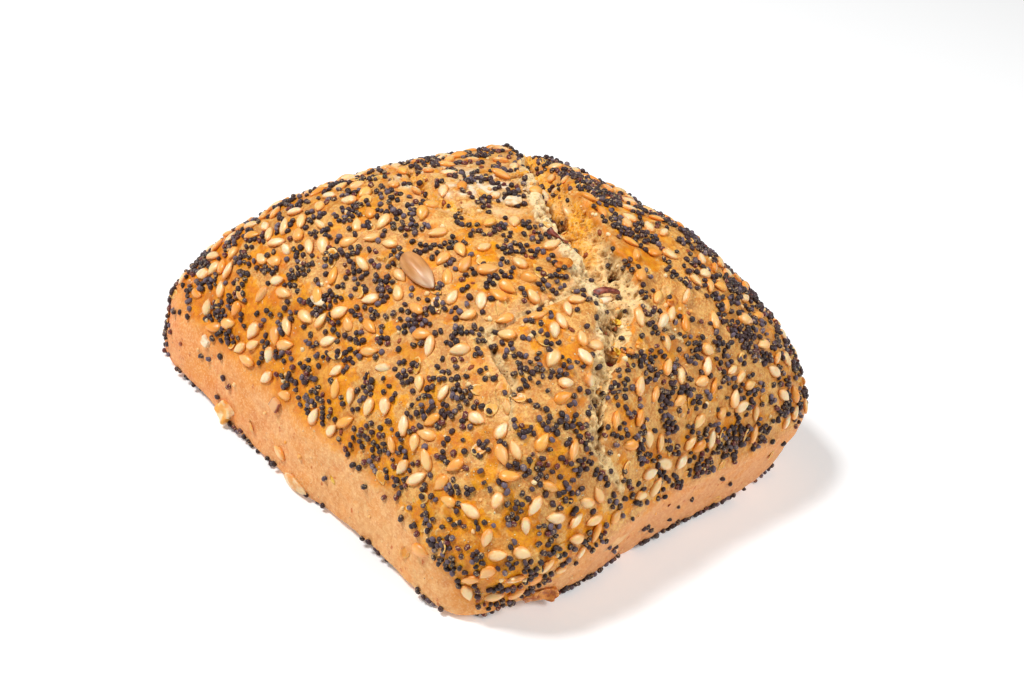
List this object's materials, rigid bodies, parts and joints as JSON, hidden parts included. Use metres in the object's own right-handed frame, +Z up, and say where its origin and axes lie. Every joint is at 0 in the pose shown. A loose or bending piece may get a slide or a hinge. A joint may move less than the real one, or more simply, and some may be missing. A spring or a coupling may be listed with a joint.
{
  "type": "bread roll",
  "caption": "Square bread roll with low cut sides, a flat base and a domed top that has torn open; its top is covered in seeds.",
  "frame": {"origin": "centre of the bounding box, on the flat base", "axes": "+Z up, the way the roll rests; +Y along the longer cut side; +X across, so that the roll's cut sides face along X and Y"},
  "size_m": [0.0914, 0.0928, 0.0456],
  "materials": {
    "crust": "dry golden-brown crust, paler where the dough was cut or torn"
  },
  "bodies": {
    "root": {"bread_roll": "crust"}
  },
  "joints": []
}
